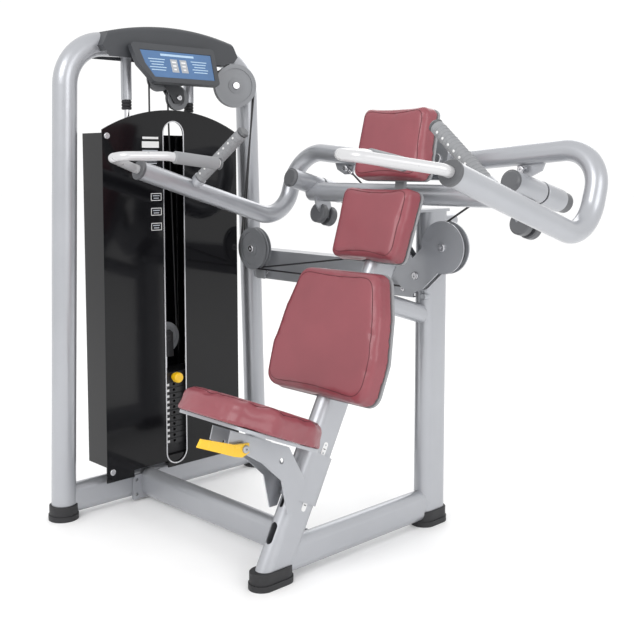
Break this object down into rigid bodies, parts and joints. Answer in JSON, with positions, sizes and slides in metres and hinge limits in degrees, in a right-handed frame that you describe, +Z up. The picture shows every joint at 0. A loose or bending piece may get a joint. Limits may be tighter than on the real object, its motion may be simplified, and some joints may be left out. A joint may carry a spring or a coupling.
{
  "type": "shoulder press machine",
  "caption": "Seated shoulder press machine with swinging press arms, cable and pulley drive, pin-selected weight tower, tilted back pads and height-adjustable seat.",
  "frame": {"origin": "centre of the overall bounding box in plan, on the floor under the rubber feet", "axes": "+Z up; +Y towards the machine's rear, behind the user's back; +X to the side of the seat away from the weight tower"},
  "size_m": [1.4662, 1.014, 1.522],
  "materials": {
    "paint": "silver-grey metallic satin",
    "light_paint": "light grey satin",
    "pulley_plastic": "satin mid-grey nylon",
    "black_shield": "gloss smoked black acrylic",
    "dark_cover": "moulded, fine grain",
    "placard_blue": "printed film under clear coat",
    "upholstery": "burgundy vinyl, soft sheen",
    "back_board": "grey moulded back",
    "rubber_black": "moulded rubber",
    "grip_rubber": "grey grip rubber",
    "steel": "bright zinc",
    "chrome_rod": "polished",
    "plate_black": "black coated",
    "yellow_plastic": "moulded yellow",
    "cable_black": "black nylon coat"
  },
  "bodies": {
    "frame": {"arm_pivot_shafts": "steel", "base_x_tube": "paint", "base_y_tube": "paint", "beam_end_rubbers": "rubber_black", "frame_cables": "cable_black", "front_shield": "black_shield", "guide_rods": "chrome_rod", "head_pad": "upholstery", "link_beam": "paint", "main_back_pad": "upholstery", "pad_boards": "back_board", "pivot_carrier": "paint", "placard_face": "placard_blue", "placard_housing": "dark_cover", "pulley_bolts": "steel", "rear_post": "paint", "rear_shroud": "black_shield", "rubber_feet": "rubber_black", "seat_post": "paint", "shield_trim": "steel", "side_pulley_plates": "paint", "stack_bumpers": "rubber_black", "top_cover": "dark_cover", "top_pulley_housing": "dark_cover", "tower_base_beam": "paint", "tower_far_leg": "paint", "tower_near_leg": "paint", "tower_pulley_brackets": "paint", "upper_back_pad": "upholstery", "upper_beam": "paint", "weight_plates": "plate_black"},
    "weight_carriage": {"head_plate": "plate_black", "selector_stem": "chrome_rod", "pulley_yoke": "plate_black", "stack_cables": "cable_black"},
    "floating_pulley": {"floating_pulley": "pulley_plastic"},
    "selector_pin": {"selector_pin": "yellow_plastic"},
    "right_arm": {"right_arm_frame": "paint", "right_arm_bushes": "steel", "right_arm_grips": "grip_rubber", "right_arm_caps": "rubber_black", "right_handle_tube": "light_paint", "right_arm_cable": "cable_black"},
    "left_arm": {"left_arm_frame": "paint", "left_arm_bushes": "steel", "left_arm_grips": "grip_rubber", "left_arm_caps": "rubber_black", "left_handle_tube": "light_paint", "left_arm_cable": "cable_black"},
    "seat_carriage": {"seat_carriage": "paint", "seat_pad": "upholstery"},
    "seat_lever": {"seat_lever": "yellow_plastic"},
    "right_side_pulley": {"right_side_pulley": "pulley_plastic"},
    "left_side_pulley": {"left_side_pulley": "pulley_plastic"},
    "lower_side_pulley": {"lower_side_pulley": "pulley_plastic"},
    "corner_pulley": {"corner_pulley": "pulley_plastic"},
    "upper_pulley": {"upper_pulley": "pulley_plastic"},
    "near_top_pulley": {"near_top_pulley": "pulley_plastic"},
    "far_top_pulley": {"far_top_pulley": "pulley_plastic"}
  },
  "joints": [
    {"name": "stack_lift", "type": "slide", "parent": "frame", "child": "weight_carriage", "axis": [0, 0, 1], "range_m": [0, 0.105], "deforming": ["stack_cables"]},
    {"name": "right_arm_press", "type": "hinge", "parent": "frame", "child": "right_arm", "pos_m": [0.20092, 0.387, 1.092], "axis": [0, -0.9703, 0.2419], "range_deg": [0, 50], "deforming": ["right_arm_cable"]},
    {"name": "left_arm_press", "type": "hinge", "parent": "frame", "child": "left_arm", "pos_m": [0.05292, 0.387, 1.092], "axis": [0, 0.9703, -0.2419], "range_deg": [0, 50], "deforming": ["left_arm_cable"]},
    {"name": "floating_pulley_spin", "type": "hinge", "parent": "weight_carriage", "child": "floating_pulley", "pos_m": [-0.67908, 0.005, 0.5155], "axis": [1, 0, 0], "continuous": true},
    {"name": "selector_pin_pull", "type": "slide", "parent": "weight_carriage", "child": "selector_pin", "axis": [1, 0, 0], "range_m": [0, 0.03]},
    {"name": "seat_height", "type": "slide", "parent": "frame", "child": "seat_carriage", "axis": [0, 0.4695, 0.8829], "range_m": [-0.07, 0.06]},
    {"name": "seat_lever_lift", "type": "hinge", "parent": "seat_carriage", "child": "seat_lever", "pos_m": [0.17492, -0.363, 0.397], "axis": [-1, 0, 0], "range_deg": [0, 12], "stiffness_Nm_per_rad": 1.5, "springref_deg": -8.59},
    {"name": "right_side_pulley_spin", "type": "hinge", "parent": "frame", "child": "right_side_pulley", "pos_m": [0.23892, 0.33, 0.853], "axis": [0, 1, 0], "range_deg": [0, 110]},
    {"name": "left_side_pulley_spin", "type": "hinge", "parent": "frame", "child": "left_side_pulley", "pos_m": [0.01492, 0.33, 0.877], "axis": [0, 1, 0], "range_deg": [-110, 0]},
    {"name": "lower_side_pulley_spin", "type": "hinge", "parent": "frame", "child": "lower_side_pulley", "pos_m": [0.14092, 0.33, 0.765], "axis": [0, 1, 0], "range_deg": [-170, 0]},
    {"name": "corner_pulley_spin", "type": "hinge", "parent": "frame", "child": "corner_pulley", "pos_m": [-0.57608, 0.311, 0.8], "axis": [0, 1, 0], "range_deg": [-100, 0]},
    {"name": "upper_pulley_spin", "type": "hinge", "parent": "frame", "child": "upper_pulley", "pos_m": [-0.60908, 0.255, 1.352], "axis": [0.9272, -0.3746, 0], "range_deg": [-100, 0]},
    {"name": "near_top_pulley_spin", "type": "hinge", "parent": "frame", "child": "near_top_pulley", "pos_m": [-0.67908, -0.007, 1.364], "axis": [1, 0, 0], "range_deg": [-175, 0]},
    {"name": "far_top_pulley_spin", "type": "hinge", "parent": "frame", "child": "far_top_pulley", "pos_m": [-0.67908, 0.065, 1.306], "axis": [1, 0, 0], "range_deg": [-175, 0]}
  ],
  "couplings": [
    {"joint": "right_arm_press", "follows": "stack_lift", "rad_per_m": 8.3},
    {"joint": "left_arm_press", "follows": "stack_lift", "rad_per_m": 8.3},
    {"joint": "right_side_pulley_spin", "follows": "stack_lift", "rad_per_m": 16.6},
    {"joint": "left_side_pulley_spin", "follows": "stack_lift", "rad_per_m": -16.6},
    {"joint": "lower_side_pulley_spin", "follows": "stack_lift", "rad_per_m": -26.4},
    {"joint": "corner_pulley_spin", "follows": "stack_lift", "rad_per_m": -14.7},
    {"joint": "upper_pulley_spin", "follows": "stack_lift", "rad_per_m": -14.7},
    {"joint": "near_top_pulley_spin", "follows": "stack_lift", "rad_per_m": -27.7},
    {"joint": "far_top_pulley_spin", "follows": "stack_lift", "rad_per_m": -27.7}
  ]
}
